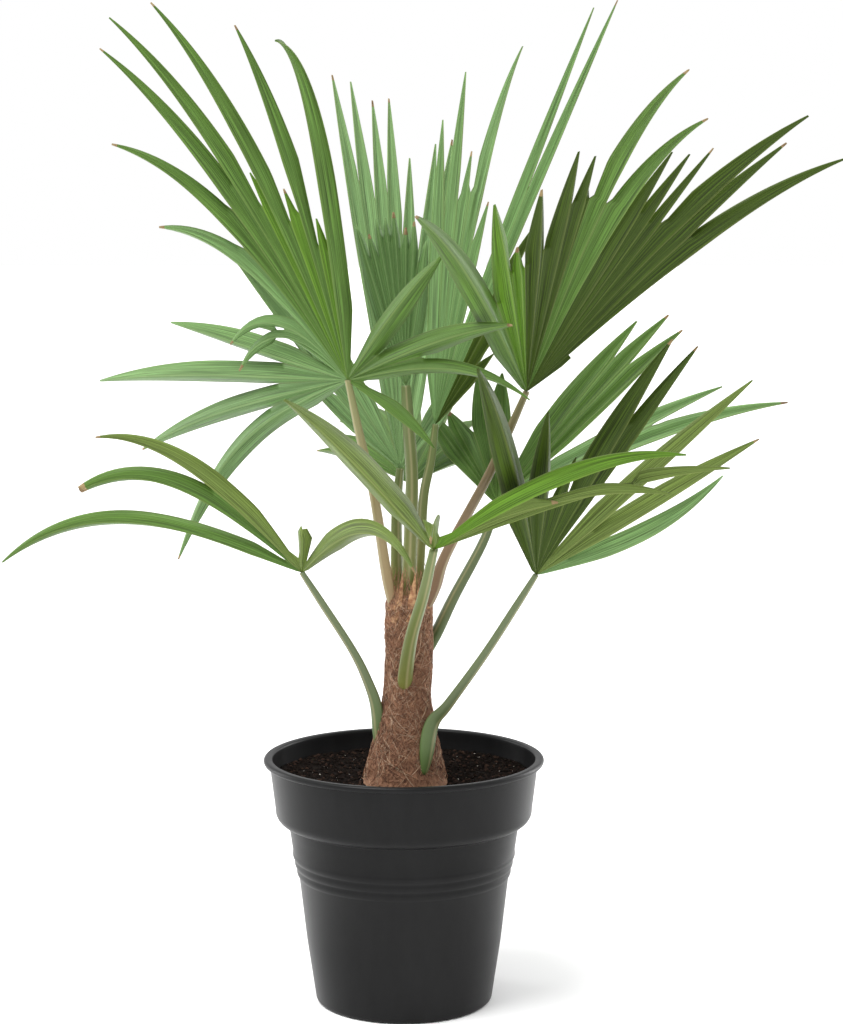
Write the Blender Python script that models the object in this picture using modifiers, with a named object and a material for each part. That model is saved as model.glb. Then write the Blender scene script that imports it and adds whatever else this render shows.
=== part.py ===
"""A young fan palm in a plastic nursery pot.

The pot stands on z = 0 with its axis on the z axis. The palm is seen from the front along +Y.
Every frond is a stalk and a pleated fan blade. A blade is set out from its hub: each leaflet
leaves the hub at its own angle in the blade's plane, and neighbours stay joined edge to edge
until they have room to part. Sizes are in millimetres and angles in degrees.
"""
import math
from collections import namedtuple

import bmesh
import bpy
from mathutils import Vector

MM = 0.001
GAP = 0.3
MERGE = 0.00005

# Pot: a turned shell with a rolled lip, a deep collar and three fine ribs
POT_HEIGHT = 212.6
POT_SEGMENTS = 40
WALL = 2.2
FLOOR_THICKNESS = 3.0
LIP_RADIUS = 120.0
LIP_ROLL = 2.6
COLLAR_TOP_RADIUS = 114.6
COLLAR_FOOT_RADIUS = 110.0
COLLAR_FOOT_Z = 168.0
COLLAR_ROUND = 10.5
BODY_TOP_RADIUS = 99.0
RIB_TOP_Z = 131.5
RIB_TOP_RADIUS = 95.3
RIB_COUNT = 3
RIB_PITCH = 7.6
RIB_STEP = 1.75
RIB_BULGE = 0.7
BODY_FOOT_RADIUS = 76.2
FOOT_ROUND = 4.0

# Soil: flat round the trunk, heaped a little against the wall
SOIL_Z = 190.0
SOIL_EDGE_Z = 196.0
SOIL_FLAT_RADIUS = 48.0

# Trunk: from its flat cut on the soil to the bases of the top stalks
TRUNK_RADIUS = 18.5
TRUNK_FLARE = 19.5
TRUNK_FLARE_Z = 270.0
TRUNK_FLARE_HEIGHT = 85.0
TRUNK_FLARE_POWER = 1.4
TRUNK_TOP_Z = 352.0
TRUNK_SHOULDER = 8.0
TRUNK_LEAN = 5.0
TRUNK_LEAN_Z = 205.0
TRUNK_LEAN_HEIGHT = 110.0
TRUNK_SIDES = 16
TRUNK_RINGS = 14
TRUNK_LOBES = 0.035

# Blades: thickness, the rings where neighbouring leaflets share their edge, and the pleats
BLADE_THICKNESS = 3.8
SHARED_RINGS = (14.0, 30.0, 55.0, 85.0, 120.0, 160.0, 205.0, 250.0, 300.0)
FREE_STEP = 62.0
WALK_STEP = 6.0
PLEAT_SLOPE = 0.28
BASE_HALF_WIDTH = 1.5
WIDENING = 0.13
JOINED_SHARE = 0.85
PARTED = 1.2
TAPER_START = 0.5
TAPER_POWER = 1.7
POINTED = 0.12
BLUNT = 0.4

# Stalks stop this far short of their blade's hub
STALK_STOP = 0.8

Leaflet = namedtuple("Leaflet", "angle length droop width tip", defaults=(0.0, 1.0, POINTED))
Frond = namedtuple("Frond", "name hub heading rise roll width stalk leaflets stop", defaults=(STALK_STOP,))
Plane = namedtuple("Plane", "middle side normal")

L = Leaflet

# A stalk is a few places with its radius at each, from the trunk up to the blade's hub.
FRONDS = (
    Frond("left_high", (-45, -60, 539), 225, 70, 0, 20,
          ((-6, -4, 335, 5.0), (-14, -12, 370, 4.6), (-24, -36, 440, 4.0), (-36, -52, 495, 3.2)),
          (L(-108, 320, 1.3, 0.9), L(-101, 305, 0.25, 0.9), L(-90, 330, 0.15), L(-76, 210, 0.1),
           L(-52, 105, 0.6, 0.6), L(-46, 125, 2.0, 0.6), L(-40, 130, 1.6, 0.6), L(-36, 215, 0.75),
           L(-31, 285, 0.65), L(-26, 340, 0.4), L(-20, 350, 0.45), L(-15.5, 185, 0, 1, BLUNT),
           L(-11, 340, 0.5), L(-5, 155, 0, 1, BLUNT), L(1, 305, 0.45), L(6, 130, 0, 1, BLUNT),
           L(12, 345, 0.95), L(51, 185, 0.15, 0.9), L(70, 215, 0.25, 0.9), L(78, 220, 0.65, 0.6),
           L(118, 100, 0.3, 0.8)), 2.8),
    Frond("centre_young", (2, -10, 531), 270, 85, 0, 16,
          ((2, -3, 335, 5.0), (5, -5, 380, 4.8), (7, -7, 450, 4.2), (4, -9, 500, 4.0)),
          (L(-17, 140), L(-13.5, 130), L(-10, 141), L(-7, 141), L(-4, 145), L(0, 132), L(3, 137),
           L(8, 122))),
    Frond("right_centre", (27, 20, 496), 45, 70, 0, 17,
          ((10, 9, 335, 5.0), (14, 12, 390, 4.4), (17, 16, 435, 4.0), (23, 18, 465, 3.7)),
          (L(17, 290), L(12.5, 330), L(9, 250), L(5.5, 365, 0.55), L(1, 200), L(-9.5, 380, 0, 0.8),
           L(-13, 390, 0, 0.8), L(-18, 190, 0, 1.2), L(-27, 110), L(-36, 80))),
    Frond("right_high", (100, -80, 531), 312, 52, 0, 22,
          ((14, -4, 335, 6.0), (26, -12, 360, 5.2), (36, -28, 392, 4.6), (69, -60, 459, 4.0),
           (86, -72, 498, 3.6)),
          (L(-47, 320, 0.35, 0.9), L(-38, 240), L(-34, 180), L(-28, 230), L(-21, 255), L(-17, 245),
           L(-13, 370, 0.55), L(-7, 320, 0.6), L(2, 240), L(7, 240), L(12, 250, 0, 0.7),
           L(17, 315, 0.35, 1.15), L(24, 285, 0.15), L(30, 315, 0.4), L(38, 45, 0, 0.8, BLUNT))),
    Frond("right_mid", (80, 30, 427), 30, 40, 25, 24,
          ((8, 4, 286, 5.0), (26, 12, 314, 4.8), (43, 18, 348, 4.2), (68, 26, 394, 3.6)),
          (L(71, 130), L(64, 125), L(49, 160), L(41, 150), L(8, 225, 0.05), L(2.5, 243, 0.05),
           L(-3, 235, 0.05), L(-22, 220, 0.1, 0.8), L(-28, 265, 0.3, 0.8))),
    Frond("right_low", (111, -30, 374), 315, 60, -5, 22,
          ((17, -26, 202, 7.0), (23, -17, 242, 6.5), (38, -19, 262, 4.6), (68, -24, 305, 3.8),
           (95, -28, 348, 3.4)),
          (L(-37, 287, 0.35), L(-23.5, 178), L(-8, 120, 0, 0.8), L(6, 236, 0.1, 1.2), L(14, 236, 0.1),
           L(38, 245), L(56, 237), L(77, 219, -0.6))),
    Frond("front", (25, -110, 406), 290, 45, 0, 20,
          ((1, -14, 272, 5.0), (2, -25, 292, 5.2), (7, -50, 326, 4.6), (17, -88, 367, 4.0)),
          (L(-38, 268, 0.2), L(-16, 90, 1.6, 0.7), L(41, 225, 0.55), L(46, 110, 0.4, 1.2),
           L(52, 198, 0.6), L(57, 246, 0.35))),
    Frond("left_low", (-86, -10, 373), 235, 60, 0, 20,
          ((-21, -6, 214, 5.0), (-23, -6, 254, 5.0), (-31, -7, 280, 4.2), (-44, -8, 307, 3.6),
           (-70, -9, 348, 3.3)),
          (L(-69, 315, 1.05, 0.8), L(-40, 216, 1.1, 1, BLUNT), L(-30, 214, 0.8), L(23, 52, 0, 1, BLUNT),
           L(51, 195, 1.35, 0.9))),
    Frond("back_tall", (-3, 30, 457), 125, 72, 0, 18,
          ((-6, 9, 335, 5.0), (-6, 18, 380, 4.6), (-6, 26, 425, 4.0)),
          (L(-45, 230), L(-22, 321), L(-19, 310), L(-14, 288), L(-10, 340), L(-7, 335), L(-3.5, 350),
           L(-0.5, 355), L(24, 290), L(34, 240), L(44, 120))),
    Frond("back_low", (5, 72, 440), 90, 20, 0, 20,
          ((4, 14, 335, 5.0), (5, 27, 375, 4.4), (5, 51, 418, 3.8)),
          tuple(L(angle, 250 - 3 * abs(angle), 0.35) for angle in range(-40, 41, 10))),
)


def vector(place):
    """A place in millimetres as a vector in metres."""
    return Vector(place) * MM


def clear_scene():
    for thing in list(bpy.data.objects):
        bpy.data.objects.remove(thing, do_unlink=True)


def new_collection(name):
    collection = bpy.data.collections.new(name)
    bpy.context.scene.collection.children.link(collection)
    return collection


def finish(name, colour, roughness, metallic=0.0):
    material = bpy.data.materials.new(name)
    material.use_nodes = True
    shader = material.node_tree.nodes["Principled BSDF"]
    shader.inputs["Base Color"].default_value = (*colour, 1.0)
    shader.inputs["Roughness"].default_value = roughness
    shader.inputs["Metallic"].default_value = metallic
    return material


def charcoal_plastic():
    return finish("charcoal_plastic", (0.045, 0.046, 0.048), 0.42)


def dark_soil():
    return finish("dark_soil", (0.035, 0.022, 0.016), 0.95)


def fibrous_bark():
    return finish("fibrous_bark", (0.24, 0.13, 0.075), 0.9)


def green_stalk():
    return finish("green_stalk", (0.16, 0.2, 0.06), 0.5)


def green_blade():
    return finish("green_blade", (0.07, 0.2, 0.045), 0.45)


def add_object(name, mesh, material, collection, smooth_angle=35.0):
    """Put a mesh in the scene, smooth over its gentle edges."""
    mesh.materials.append(material)
    mesh.shade_smooth()
    mesh.set_sharp_from_angle(angle=math.radians(smooth_angle))
    thing = bpy.data.objects.new(name, mesh)
    collection.objects.link(thing)
    return thing


def turned(name, profile, segments, material, collection):
    """A solid turned about the z axis from a profile that runs down its outer side."""
    mesh = bpy.data.meshes.new(name)
    points = [(radius * MM, 0.0, height * MM) for radius, height in profile]
    edges = [(i, i + 1) for i in range(len(points) - 1)]
    mesh.from_pydata(points, edges, [])
    thing = bpy.data.objects.new(name, mesh)
    mesh.materials.append(material)
    collection.objects.link(thing)
    screw = thing.modifiers.new("Turn", "SCREW")
    screw.axis = "Z"
    screw.angle = 2 * math.pi
    screw.steps = segments
    screw.render_steps = segments
    screw.use_merge_vertices = True
    screw.merge_threshold = MERGE
    screw.use_smooth_shade = True
    return thing


def arc(centre_r, centre_z, radius, start, stop, steps):
    """Points of a profile's round part, between two angles."""
    points = []
    for step in range(steps + 1):
        angle = math.radians(start + (stop - start) * step / steps)
        points.append((centre_r + radius * math.cos(angle), centre_z + radius * math.sin(angle)))
    return points


def rib_profile():
    """Three fine ribs down the body, each a small bulge and then a step inwards."""
    points = []
    for rib in range(RIB_COUNT):
        radius = RIB_TOP_RADIUS - rib * RIB_STEP
        top = RIB_TOP_Z - rib * RIB_PITCH
        points.append((radius, top))
        points.append((radius + RIB_BULGE, top - 0.3 * RIB_PITCH))
        points.append((radius - 0.3 * RIB_STEP, top - 0.65 * RIB_PITCH))
    points.append((RIB_TOP_RADIUS - RIB_COUNT * RIB_STEP, RIB_TOP_Z - RIB_COUNT * RIB_PITCH))
    return points


def pot_outer_profile():
    """From the top of the lip down the outer side to the edge of the underside."""
    lip_centre_z = POT_HEIGHT - LIP_ROLL
    points = arc(LIP_RADIUS - LIP_ROLL, lip_centre_z, LIP_ROLL, 90, -90, 4)
    points.append((COLLAR_TOP_RADIUS, lip_centre_z - LIP_ROLL))
    points.append((COLLAR_FOOT_RADIUS, COLLAR_FOOT_Z))
    shoulder = COLLAR_FOOT_RADIUS - COLLAR_ROUND
    points += arc(shoulder, COLLAR_FOOT_Z - 1.0, COLLAR_ROUND, -12, -84, 4)
    points.append((BODY_TOP_RADIUS, COLLAR_FOOT_Z - COLLAR_ROUND - 3.0))
    points += rib_profile()
    points += arc(BODY_FOOT_RADIUS - FOOT_ROUND, FOOT_ROUND, FOOT_ROUND, 0, -90, 3)
    return points


def pot_inner_radius(height):
    """Radius of the pot's inner wall, a wall's thickness inside a simplified outer side."""
    if height > COLLAR_FOOT_Z:
        share = (height - COLLAR_FOOT_Z) / (POT_HEIGHT - COLLAR_FOOT_Z)
        return COLLAR_FOOT_RADIUS + share * (COLLAR_TOP_RADIUS - COLLAR_FOOT_RADIUS) - WALL
    shoulder_z = COLLAR_FOOT_Z - COLLAR_ROUND
    if height > shoulder_z:
        share = (height - shoulder_z) / COLLAR_ROUND
        return BODY_TOP_RADIUS + share * (COLLAR_FOOT_RADIUS - BODY_TOP_RADIUS) - WALL
    rib_foot_z = RIB_TOP_Z - RIB_COUNT * RIB_PITCH
    rib_foot_radius = RIB_TOP_RADIUS - RIB_COUNT * RIB_STEP
    if height > rib_foot_z:
        share = (height - rib_foot_z) / (shoulder_z - rib_foot_z)
        return rib_foot_radius + share * (BODY_TOP_RADIUS - rib_foot_radius) - WALL
    share = height / rib_foot_z
    return BODY_FOOT_RADIUS + share * (rib_foot_radius - BODY_FOOT_RADIUS) - WALL


def inner_heights():
    """Heights where the inner wall changes its slope, from the floor up to the collar."""
    rib_foot_z = RIB_TOP_Z - RIB_COUNT * RIB_PITCH
    return [FLOOR_THICKNESS, rib_foot_z, COLLAR_FOOT_Z - COLLAR_ROUND, COLLAR_FOOT_Z]


def build_pot(collection):
    profile = [(0.0, FLOOR_THICKNESS)]
    profile += [(pot_inner_radius(height), height) for height in inner_heights()]
    profile.append((pot_inner_radius(POT_HEIGHT) - 0.4, POT_HEIGHT - 1.5))
    profile += pot_outer_profile()
    profile.append((0.0, 0.0))
    return turned("pot", profile, POT_SEGMENTS, charcoal_plastic(), collection)


def build_soil(collection):
    """The potting mix, a gap clear of the pot's wall and floor."""
    profile = [(0.0, SOIL_Z), (SOIL_FLAT_RADIUS, SOIL_Z)]
    profile.append((pot_inner_radius(SOIL_EDGE_Z) - GAP, SOIL_EDGE_Z))
    for height in reversed(inner_heights()[1:]):
        profile.append((pot_inner_radius(height) - GAP, height))
    bottom = FLOOR_THICKNESS + GAP
    profile.append((pot_inner_radius(bottom) - GAP, bottom))
    profile.append((0.0, bottom))
    return turned("soil", profile, POT_SEGMENTS, dark_soil(), collection)


def trunk_axis(height):
    """Sideways lean of the trunk's middle at a height."""
    share = min(max((height - TRUNK_LEAN_Z) / TRUNK_LEAN_HEIGHT, 0.0), 1.0)
    return TRUNK_LEAN * share * share * (3 - 2 * share)


def trunk_radius(height):
    """Radius of the trunk at a height: a straight stem over a root flare."""
    flare = max((TRUNK_FLARE_Z - height) / TRUNK_FLARE_HEIGHT, 0.0) ** TRUNK_FLARE_POWER
    shoulder = max((height - TRUNK_TOP_Z) / TRUNK_SHOULDER + 1.0, 0.0)
    return TRUNK_RADIUS + TRUNK_FLARE * flare - 2.5 * shoulder ** 2


def trunk_ring(height, grow):
    """Places round the trunk at a height, with shallow lobes that turn as they rise."""
    places = []
    for side in range(TRUNK_SIDES):
        angle = 2 * math.pi * side / TRUNK_SIDES
        lobe = 1.0 + TRUNK_LOBES * math.cos(3 * angle + 0.03 * height)
        radius = trunk_radius(height) * lobe + grow
        places.append((trunk_axis(height) + radius * math.cos(angle), radius * math.sin(angle), height))
    return places


def loft(name, rings):
    """A closed solid through rings of equal count, from the lowest to the highest."""
    shape = bmesh.new()
    rows = [[shape.verts.new(vector(place)) for place in ring] for ring in rings]
    for low, high in zip(rows, rows[1:]):
        for side in range(len(low)):
            after = (side + 1) % len(low)
            shape.faces.new((low[side], low[after], high[after], high[side]))
    shape.faces.new(list(reversed(rows[0])))
    shape.faces.new(rows[-1])
    mesh = bpy.data.meshes.new(name)
    shape.to_mesh(mesh)
    shape.free()
    return mesh


def trunk_mesh(name, grow):
    """The trunk, or the trunk grown all over to cut what leans on it."""
    bottom = SOIL_Z + GAP - grow
    top = TRUNK_TOP_Z + grow
    heights = [bottom + (top - bottom) * ring / (TRUNK_RINGS - 1) for ring in range(TRUNK_RINGS)]
    return loft(name, [trunk_ring(height, grow) for height in heights])


def build_trunk(collection):
    return add_object("trunk", trunk_mesh("trunk", 0.0), fibrous_bark(), collection)


def hide_cutter(cutter):
    cutter.hide_render = True
    cutter.display_type = "WIRE"
    return cutter


def trunk_cutter(collection):
    mesh = trunk_mesh("trunk_cutter", GAP)
    return hide_cutter(add_object("trunk_cutter", mesh, fibrous_bark(), collection))


def blade_plane(heading, rise, roll):
    """Directions of a blade: along its middle, to its side, and out of its upper face."""
    turn, lift, twist = (math.radians(angle) for angle in (heading, rise, roll))
    middle = Vector((math.cos(lift) * math.cos(turn), math.cos(lift) * math.sin(turn), math.sin(lift)))
    level = Vector((-math.sin(turn), math.cos(turn), 0.0))
    side = level * math.cos(twist) + middle.cross(level) * math.sin(twist)
    return Plane(middle, side, middle.cross(side))


class Rib:
    """The middle line of one leaflet, walked out from the hub as it droops."""

    def __init__(self, hub, plane, leaflet):
        angle = math.radians(leaflet.angle)
        self.hub = Vector(hub)
        self.plane = plane
        self.leaflet = leaflet
        self.start = plane.middle * math.cos(angle) + plane.side * math.sin(angle)

    def heading_at(self, along):
        share = min(along / self.leaflet.length, 1.0)
        sink = Vector((0.0, 0.0, -self.leaflet.droop * share * share))
        return (self.start + sink).normalized()

    def place_at(self, along):
        steps = max(1, math.ceil(along / WALK_STEP))
        place = self.hub.copy()
        for step in range(steps):
            place += self.heading_at(along * (step + 0.5) / steps) * (along / steps)
        return place

    def upward_at(self, along):
        heading = self.heading_at(along)
        normal = self.plane.normal
        return (normal - heading * normal.dot(heading)).normalized()

    def half_width_at(self, along, blade_width):
        """Half the leaflet's free width: a wedge from the hub, then a taper to the tip."""
        widest = 0.5 * blade_width * self.leaflet.width
        share = max((along / self.leaflet.length - TAPER_START) / (1.0 - TAPER_START), 0.0)
        taper = 1.0 - (1.0 - self.leaflet.tip) * share ** TAPER_POWER
        return min(widest * taper, BASE_HALF_WIDTH + WIDENING * along)


def joined_rings(left, right, width):
    """How many shared rings two neighbouring leaflets stay joined for, one at the least."""
    reach = JOINED_SHARE * min(left.leaflet.length, right.leaflet.length)
    count = 1
    for ring in SHARED_RINGS[1:]:
        apart = (left.place_at(ring) - right.place_at(ring)).length
        room = left.half_width_at(ring, width) + right.half_width_at(ring, width)
        if ring > reach or apart > room:
            break
        count += 1
    return count


def free_half_width(rib, neighbour, along, width):
    """Half width on the side of a neighbour, which is left its own room."""
    half = rib.half_width_at(along, width)
    if neighbour and along < neighbour.leaflet.length + 2 * WALK_STEP:
        apart = (rib.place_at(along) - neighbour.place_at(along)).length
        half = min(half, 0.5 * apart - PARTED)
    return max(half, 1.0)


def side_vertex(shape, rib, neighbour, along, width, direction):
    """Edge of a leaflet where it is free, raised by the pleat."""
    half = free_half_width(rib, neighbour, along, width)
    upward = rib.upward_at(along)
    sideways = upward.cross(rib.heading_at(along)) * direction
    return shape.verts.new((rib.place_at(along) + sideways * half + upward * half * PLEAT_SLOPE) * MM)


def crest_vertex(shape, left, right, along):
    """Edge that two joined leaflets share, raised by the pleat."""
    near = left.place_at(along)
    far = right.place_at(along)
    half = 0.5 * (near - far).length
    upward = (left.upward_at(along) + right.upward_at(along)).normalized()
    return shape.verts.new(((near + far) * 0.5 + upward * half * PLEAT_SLOPE) * MM)


def stations_of(rib, shared):
    """Distances along a leaflet where its section is set: shared rings, then even steps."""
    last = SHARED_RINGS[shared - 1]
    rest = rib.leaflet.length - last
    steps = max(1, math.ceil(rest / FREE_STEP))
    return list(SHARED_RINGS[:shared]) + [last + rest * (step + 1) / steps for step in range(steps)]


def blade_mesh(frond, name):
    """The open pleated surface of a fan blade, one folded strip for each leaflet."""
    plane = blade_plane(frond.heading, frond.rise, frond.roll)
    ribs = [Rib(frond.hub, plane, leaflet) for leaflet in sorted(frond.leaflets)]
    joins = [joined_rings(a, b, frond.width) for a, b in zip(ribs, ribs[1:])]
    shape = bmesh.new()
    hub = shape.verts.new(vector(frond.hub))
    crests = [
        [crest_vertex(shape, ribs[i], ribs[i + 1], ring) for ring in SHARED_RINGS[:joins[i]]]
        for i in range(len(joins))
    ]
    for i, rib in enumerate(ribs):
        before = ribs[i - 1] if i > 0 else None
        after = ribs[i + 1] if i + 1 < len(ribs) else None
        low_crest = crests[i - 1] if before else []
        high_crest = crests[i] if after else []
        rows = []
        for k, along in enumerate(stations_of(rib, max(len(low_crest), len(high_crest), 1))):
            low = low_crest[k] if k < len(low_crest) else side_vertex(
                shape, rib, before, along, frond.width, -1)
            high = high_crest[k] if k < len(high_crest) else side_vertex(
                shape, rib, after, along, frond.width, 1)
            half = 0.5 * (low.co - high.co).length / MM
            fold = rib.place_at(along) - rib.upward_at(along) * half * PLEAT_SLOPE
            rows.append((low, shape.verts.new(fold * MM), high))
        shape.faces.new((hub, rows[0][0], rows[0][1]))
        shape.faces.new((hub, rows[0][1], rows[0][2]))
        for near, far in zip(rows, rows[1:]):
            shape.faces.new((near[0], far[0], far[1], near[1]))
            shape.faces.new((near[1], far[1], far[2], near[2]))
    bmesh.ops.triangulate(shape, faces=shape.faces)
    mesh = bpy.data.meshes.new(name)
    shape.to_mesh(mesh)
    shape.free()
    return mesh


def add_thickness(thing, thickness):
    solidify = thing.modifiers.new("Thickness", "SOLIDIFY")
    solidify.thickness = thickness * MM
    solidify.offset = 0.0
    solidify.use_even_offset = False


def build_blade(frond, collection):
    name = "fan_" + frond.name
    thing = add_object(name, blade_mesh(frond, name), green_blade(), collection)
    add_thickness(thing, BLADE_THICKNESS)
    return thing


def blade_cutter(frond, collection):
    """The blade grown by the gap on both faces, to trim its stalk."""
    name = "cutter_" + frond.name
    cutter = add_object(name, blade_mesh(frond, name), green_blade(), collection)
    add_thickness(cutter, BLADE_THICKNESS + 2 * GAP)
    return hide_cutter(cutter)


def stalk_path(frond):
    """Places and radii up a stalk, stopping short of the blade's hub."""
    last = Vector(frond.stalk[-1][:3])
    hub = Vector(frond.hub)
    end = hub + (last - hub).normalized() * frond.stop
    return list(frond.stalk) + [(*end, frond.stalk[-1][3])]


def stalk_mesh(frond, name):
    """A tapering round limb through the stalk's places."""
    curve = bpy.data.curves.new(name, "CURVE")
    curve.dimensions = "3D"
    curve.bevel_depth = MM
    curve.bevel_resolution = 2
    curve.resolution_u = 4
    curve.use_fill_caps = True
    places = stalk_path(frond)
    spline = curve.splines.new("BEZIER")
    spline.bezier_points.add(len(places) - 1)
    for point, (x, y, z, radius) in zip(spline.bezier_points, places):
        point.co = vector((x, y, z))
        point.radius = radius
        point.handle_left_type = "AUTO"
        point.handle_right_type = "AUTO"
    guide = bpy.data.objects.new(name + "_guide", curve)
    bpy.context.scene.collection.objects.link(guide)
    bpy.context.view_layer.update()
    drawn = guide.evaluated_get(bpy.context.evaluated_depsgraph_get())
    mesh = bpy.data.meshes.new_from_object(drawn)
    bpy.data.objects.remove(guide, do_unlink=True)
    shape = bmesh.new()
    shape.from_mesh(mesh)
    bmesh.ops.remove_doubles(shape, verts=shape.verts, dist=MERGE)
    shape.to_mesh(mesh)
    shape.free()
    return mesh


def cut(thing, cutter):
    boolean = thing.modifiers.new("Cut", "BOOLEAN")
    boolean.operation = "DIFFERENCE"
    boolean.object = cutter


def build_stalk(frond, cutter_list, collection):
    name = "stalk_" + frond.name
    thing = add_object(name, stalk_mesh(frond, name), green_stalk(), collection)
    for cutter in cutter_list:
        cut(thing, cutter)
    return thing


def build():
    clear_scene()
    parts = new_collection("potted_fan_palm")
    cutters = new_collection("cutters")
    build_pot(parts)
    build_soil(parts)
    build_trunk(parts)
    trunk_shape = trunk_cutter(cutters)
    for frond in FRONDS:
        build_stalk(frond, [trunk_shape, blade_cutter(frond, cutters)], parts)
        build_blade(frond, parts)


build()
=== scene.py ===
"""The finished look of the potted fan palm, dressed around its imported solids.

Sizes are in millimetres and angles in degrees, in the same frame as the solids.
Lamps and panels are placed in metres.
"""
import random
from collections import namedtuple
from math import ceil, cos, hypot, pi, radians, sin, sqrt

import bmesh
import bpy
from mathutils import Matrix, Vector, noise


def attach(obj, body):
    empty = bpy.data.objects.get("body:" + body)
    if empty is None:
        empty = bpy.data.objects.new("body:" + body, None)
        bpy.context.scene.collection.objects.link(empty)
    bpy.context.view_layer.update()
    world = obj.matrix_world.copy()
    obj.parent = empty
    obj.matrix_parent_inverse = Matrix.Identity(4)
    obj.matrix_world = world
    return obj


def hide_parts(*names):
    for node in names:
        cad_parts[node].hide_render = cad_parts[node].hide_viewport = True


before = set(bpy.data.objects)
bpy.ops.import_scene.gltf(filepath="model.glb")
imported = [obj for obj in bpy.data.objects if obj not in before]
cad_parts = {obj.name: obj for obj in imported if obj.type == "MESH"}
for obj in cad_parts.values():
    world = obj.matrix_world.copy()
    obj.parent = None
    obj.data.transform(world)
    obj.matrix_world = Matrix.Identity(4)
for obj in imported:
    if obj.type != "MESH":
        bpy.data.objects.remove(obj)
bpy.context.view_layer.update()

MM = 0.001
TURN = 2 * pi

# Camera of the photograph: a long lens a little above the crown's middle
CAMERA_PLACE = (15.1, -2059.0, 673.0)
CAMERA_PITCH = 6.92
IMAGE_HEIGHT = 1024
FOCAL_PIXELS = 2450.0
SENSOR = 36.0

# Pot
POT_HEIGHT = 212.6
POT_SEGMENTS = 160
POT_CREASE = 50.0
WALL = 2.2
FLOOR_THICKNESS = 3.0
LIP_RADIUS = 120.0
LIP_ROLL = 2.6
LIP_FILLET = 1.3
LIP_FILLET_OUT = 1.4
INNER_LIP_ROUND = 2.0
INNER_LIP_DROP = 2.2
INNER_LIP_FOOT = 5.0
COLLAR_TOP_RADIUS = 114.6
COLLAR_FOOT_RADIUS = 110.0
COLLAR_FOOT_Z = 168.0
COLLAR_ROUND = 10.5
COLLAR_EDGE = 1.0
COLLAR_EDGE_OUT = 0.1
BODY_TOP_RADIUS = 99.0
BODY_FILLET = 1.6
BODY_FILLET_DROP = 2.6
WAIST_Z = 147.0
WAIST_SHARE = 0.4
RIB_TOP_Z = 131.5
RIB_TOP_RADIUS = 95.3
RIB_COUNT = 3
RIB_POINTS = 6
RIB_PITCH = 7.6
RIB_STEP = 1.75
RIB_BULGE = 0.7
RIB_FOOT_Z = RIB_TOP_Z - RIB_COUNT * RIB_PITCH
RIB_FOOT_RADIUS = RIB_TOP_RADIUS - RIB_COUNT * RIB_STEP
BODY_BULGE = 0.6
BODY_FOOT_RADIUS = 76.2
FOOT_ROUND = 4.0

# Soil: gentle swells and small crumbs over a bed that rises to the wall
SOIL_Z = 190.0
SOIL_EDGE_Z = 196.0
SOIL_FLAT_RADIUS = 48.0
SOIL_RADIUS = 110.3
SOIL_DEPTH = 14.0
SOIL_RINGS = 60
SOIL_SEGMENTS = 150
SWELL_HEIGHT = 2.0
SWELL_SPAN = 22.0
CRUMB_HEIGHT = 1.0
CRUMB_SPAN = 5.0
CRUMB_LAYER = 4.0
LUMP_SIZES = (0.6, 1.0)
LUMP_UNEVEN = (0.6, 1.2)
LUMP_LIFT = 0.3
LUMP_FLATNESS = 0.7
TRUNK_CLEARANCE = 1.0

# Trunk
TRUNK_RADIUS = 18.5
TRUNK_FLARE = 19.5
TRUNK_FLARE_Z = 270.0
TRUNK_FLARE_HEIGHT = 85.0
TRUNK_FLARE_POWER = 1.4
TRUNK_TOP_Z = 352.0
TRUNK_SHOULDER = 8.0
TRUNK_SHOULDER_DROP = 2.5
TRUNK_CROWN = 2.0
TRUNK_SUNK = 3.0
TRUNK_LEAN = 5.0
TRUNK_LEAN_Z = 205.0
TRUNK_LEAN_HEIGHT = 110.0
TRUNK_LOBES = 0.035
TRUNK_LOBE_COUNT = 3
TRUNK_LOBE_TWIST = 0.03
TRUNK_ROWS = 150
TRUNK_SIDES = 160
BARK_SUNK = 0.2

# Fibres that lie on the trunk
STRAND_SLANT = 38
STRAND_SLANT_SPREAD = 22
STRAND_CURL = 0.5
STRAND_LIFTS = (0.2, 1.6)
STRAND_ARCHES = (0.2, 1.4)
STRAND_SIZES = (0.7, 1.2)
STRAND_MARGIN = 2.0
STRAND_OVERRUN = 1.0
STRAND_STEPS = 5
STRAND_TAPER = 0.7
STRAND_SIDES = 3
STRAND_REFERENCE = Vector((0.3, 0.2, 1.0))

# Fibres and torn sheaths that stand round the feet of the top stalks
TUFT_COUNT = 520
TUFT_START = (26.0, 1.0)
TUFT_LENGTHS = (12, 30)
TUFT_INWARD = 0.35
TUFT_SWING = 0.5
TUFT_LIFT = 0.8
TUFT_SPREAD = 1.5
TUFT_RADII = (0.3, 0.7)
FLAP_COUNT = 26
FLAP_START = (22.0, 6.0)
FLAP_LENGTHS = (14, 30)
FLAP_HALF_ANGLES = (0.10, 0.24)
FLAP_ROWS = 6
FLAP_LIFT = 1.6
FLAP_CURL = 2.2
FLAP_UNEVEN = (0.5, 1.4)
FLAP_TAPER_POWER = 1.5
FLAP_TIP_HALF_ANGLE = 0.012
FLAP_SWING = 0.2
FLAP_LEAN_IN = 3.0
FLAP_SKIN_DROP = 6.0
FLAP_RIDGE = 1.5
FLAP_THICKNESS = 0.5

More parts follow.
